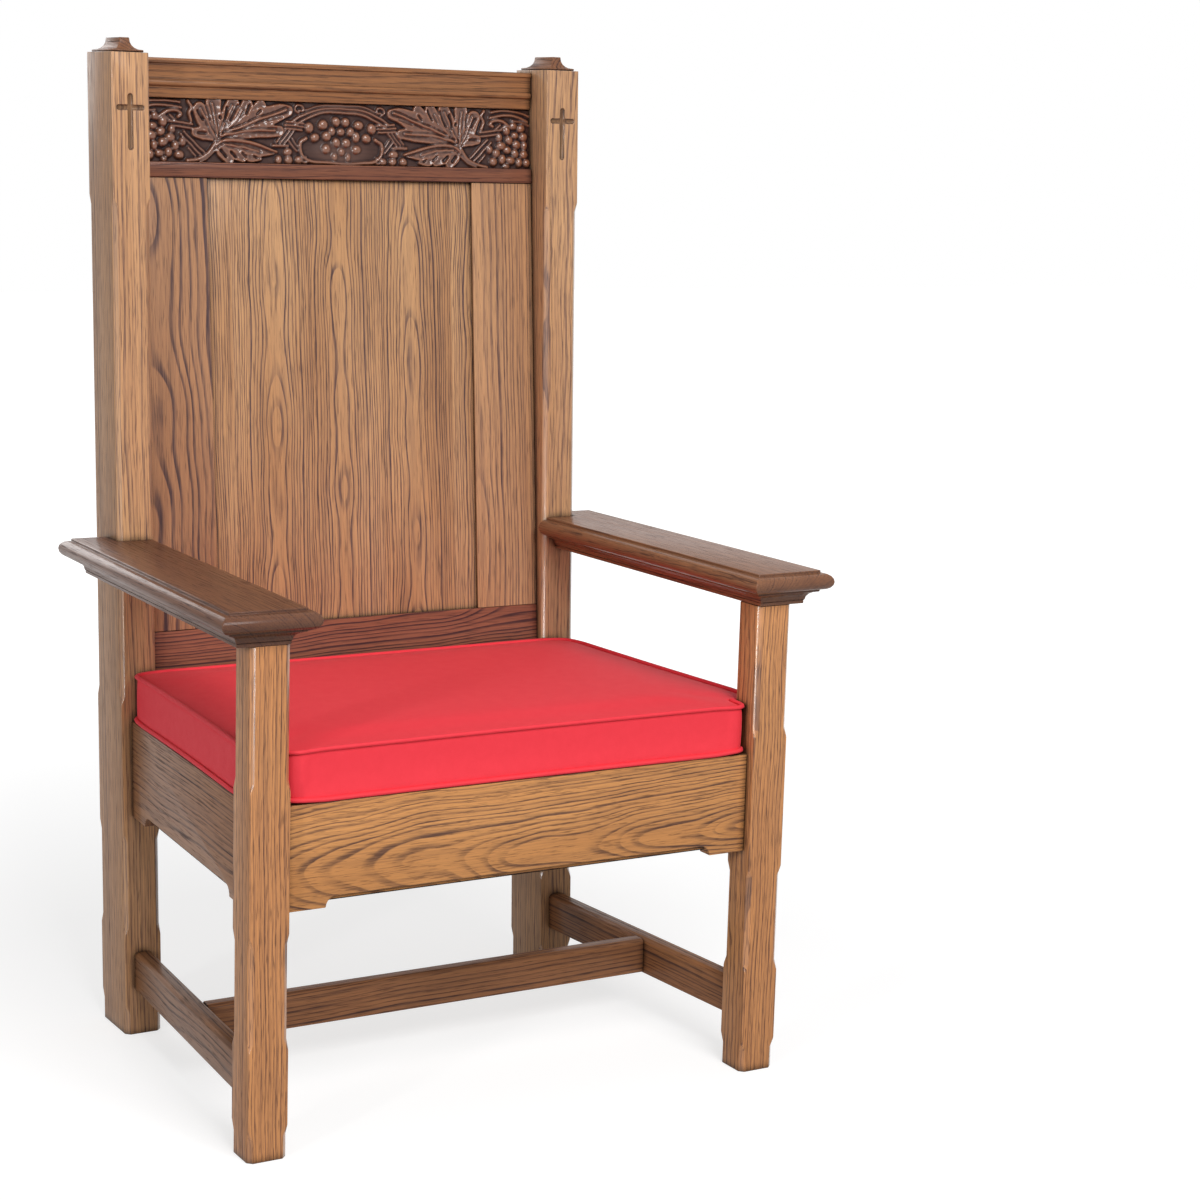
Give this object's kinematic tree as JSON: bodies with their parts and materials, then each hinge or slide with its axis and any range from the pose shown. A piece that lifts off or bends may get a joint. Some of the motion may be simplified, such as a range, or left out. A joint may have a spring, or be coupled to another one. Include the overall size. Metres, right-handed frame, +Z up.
{
  "type": "celebrant chair",
  "caption": "Upright stained oak armchair with raked back posts, framed panel back, carved vine frieze, moulded arms, stretchers and a loose red box cushion.",
  "frame": {"origin": "centre of the footprint box, on the floor", "axes": "+Z up, the chair faces -Y, +X to the viewer's right from the front"},
  "size_m": [0.8142, 0.6283, 1.27],
  "materials": {
    "stained_oak": "satin lacquer over golden brown stain",
    "dark_stained_oak": "satin lacquer over red brown stain",
    "plywood": "sanded",
    "beech": "planed",
    "screw_steel": "plain",
    "red_upholstery": "plain weave",
    "red_welt": "plain weave piping"
  },
  "bodies": {
    "frame": {"front_post_left": "stained_oak", "front_post_right": "stained_oak", "back_post_left": "stained_oak", "back_post_right": "stained_oak", "post_cap_left": "stained_oak", "post_cap_right": "stained_oak", "back_stile_left": "stained_oak", "back_stile_right": "stained_oak", "back_panel": "stained_oak", "front_apron": "stained_oak", "side_apron_left": "stained_oak", "side_apron_right": "stained_oak", "rear_apron": "stained_oak", "side_stretcher_left": "stained_oak", "side_stretcher_right": "stained_oak", "cross_stretcher": "stained_oak", "arm_left": "stained_oak", "arm_right": "stained_oak", "crest_rail": "dark_stained_oak", "carved_frieze": "dark_stained_oak", "frieze_rail": "dark_stained_oak", "back_bottom_rail": "dark_stained_oak", "seat_board": "plywood", "front_cleat": "beech", "rear_cleat": "beech", "side_cleat_left": "beech", "side_cleat_right": "beech", "cap_dowel_left": "beech", "cap_dowel_right": "beech", "arm_dowel_left": "beech", "arm_dowel_right": "beech", "front_cleat_screw_left": "screw_steel", "front_cleat_screw_right": "screw_steel", "rear_cleat_screw_left": "screw_steel", "rear_cleat_screw_right": "screw_steel", "side_cleat_front_screw_left": "screw_steel", "side_cleat_front_screw_right": "screw_steel", "side_cleat_rear_screw_left": "screw_steel", "side_cleat_rear_screw_right": "screw_steel", "board_screw_front": "screw_steel", "board_screw_rear": "screw_steel", "board_screw_left": "screw_steel", "board_screw_right": "screw_steel"},
    "cushion": {"seat_cushion": "red_upholstery", "cushion_welt_top": "red_welt", "cushion_welt_bottom": "red_welt"}
  },
  "joints": [
    {"name": "cushion_lift", "type": "slide", "parent": "frame", "child": "cushion", "axis": [0, 0, 1], "range_m": [0, 0.11]}
  ]
}
